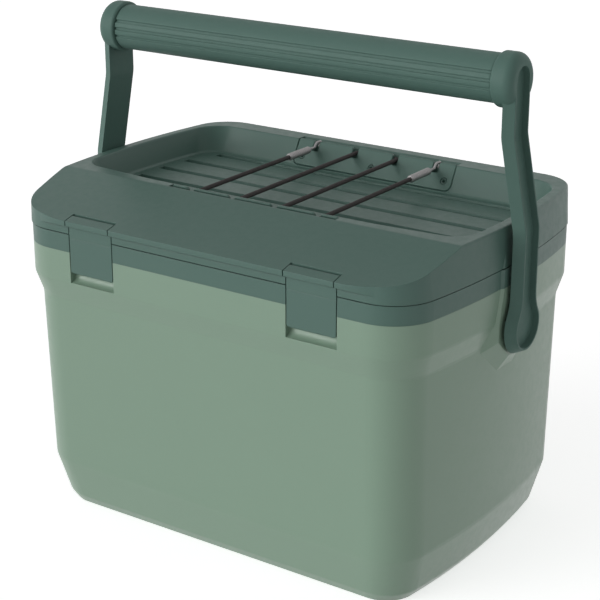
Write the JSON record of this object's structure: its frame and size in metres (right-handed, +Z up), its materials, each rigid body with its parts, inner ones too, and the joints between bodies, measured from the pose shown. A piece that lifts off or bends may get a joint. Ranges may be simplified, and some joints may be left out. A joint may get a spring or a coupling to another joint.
{
  "type": "portable cooler",
  "caption": "Hard-sided portable cooler with a swing-up bail handle, hinged lid with a tray and captive bungee cord, and front latches.",
  "frame": {"origin": "centre of the base, on the floor", "axes": "+X along the long side, -Y to the latch side at the front, +Z up"},
  "size_m": [0.4484, 0.3075, 0.4393],
  "materials": {
    "body_plastic": "fine matte grain",
    "lid_plastic": "fine matte grain",
    "liner_plastic": "smooth",
    "foam": "rigid foam",
    "seal_rubber": "smooth",
    "cord_cover": "woven cover",
    "end_fitting": "satin",
    "steel": "satin",
    "black_steel": "satin",
    "core_metal": "plain"
  },
  "bodies": {
    "body": {"outer_shell": "body_plastic", "rim_collar": "lid_plastic", "inner_liner": "liner_plastic", "body_foam": "foam", "latch_catch_left": "lid_plastic", "pivot_anchor_left": "core_metal", "pivot_stud_left": "steel", "pivot_washer_left": "liner_plastic", "hinge_body_leaf_left": "lid_plastic", "hinge_pin_left": "steel", "latch_catch_right": "lid_plastic", "pivot_anchor_right": "core_metal", "pivot_stud_right": "steel", "pivot_washer_right": "liner_plastic", "hinge_body_leaf_right": "lid_plastic", "hinge_pin_right": "steel", "hinge_screw_body_left_1": "black_steel", "hinge_screw_body_left_2": "black_steel", "hinge_screw_body_right_1": "black_steel", "hinge_screw_body_right_2": "black_steel"},
    "lid": {"lid_shell": "lid_plastic", "lid_pan": "liner_plastic", "lid_gasket": "seal_rubber", "lid_foam": "foam", "bungee_cord": "cord_cover", "cord_plate_front": "lid_plastic", "cord_plate_rear": "lid_plastic", "plate_screw_front_1": "black_steel", "plate_screw_front_2": "black_steel", "plate_screw_front_3": "black_steel", "plate_screw_rear_1": "black_steel", "plate_screw_rear_2": "black_steel", "plate_screw_rear_3": "black_steel", "cord_end_left": "end_fitting", "latch_pin_left": "steel", "hinge_lid_leaf_left": "lid_plastic", "cord_end_right": "end_fitting", "latch_pin_right": "steel", "hinge_lid_leaf_right": "lid_plastic", "hinge_screw_lid_left_1": "black_steel", "hinge_screw_lid_left_2": "black_steel", "hinge_screw_lid_right_1": "black_steel", "hinge_screw_lid_right_2": "black_steel"},
    "latch_left": {"latch_left": "lid_plastic"},
    "latch_right": {"latch_right": "lid_plastic"},
    "handle": {"handle_arm_left": "lid_plastic", "handle_arm_right": "lid_plastic", "handle_grip": "lid_plastic", "grip_core": "core_metal"}
  },
  "joints": [
    {"name": "handle_swing", "type": "hinge", "parent": "body", "child": "handle", "pos_m": [0, 0.004, 0.2156], "axis": [1, 0, 0], "range_deg": [-128, 124]},
    {"name": "lid_hinge", "type": "hinge", "parent": "body", "child": "lid", "pos_m": [0, 0.1518, 0.2684], "axis": [-1, 0, 0], "range_deg": [0, 10]},
    {"name": "latch_left_hinge", "type": "hinge", "parent": "lid", "child": "latch_left", "pos_m": [-0.1127, -0.1466, 0.2784], "axis": [-1, 0, 0], "range_deg": [0, 110]},
    {"name": "latch_right_hinge", "type": "hinge", "parent": "lid", "child": "latch_right", "pos_m": [0.1127, -0.1466, 0.2784], "axis": [-1, 0, 0], "range_deg": [0, 110]}
  ]
}
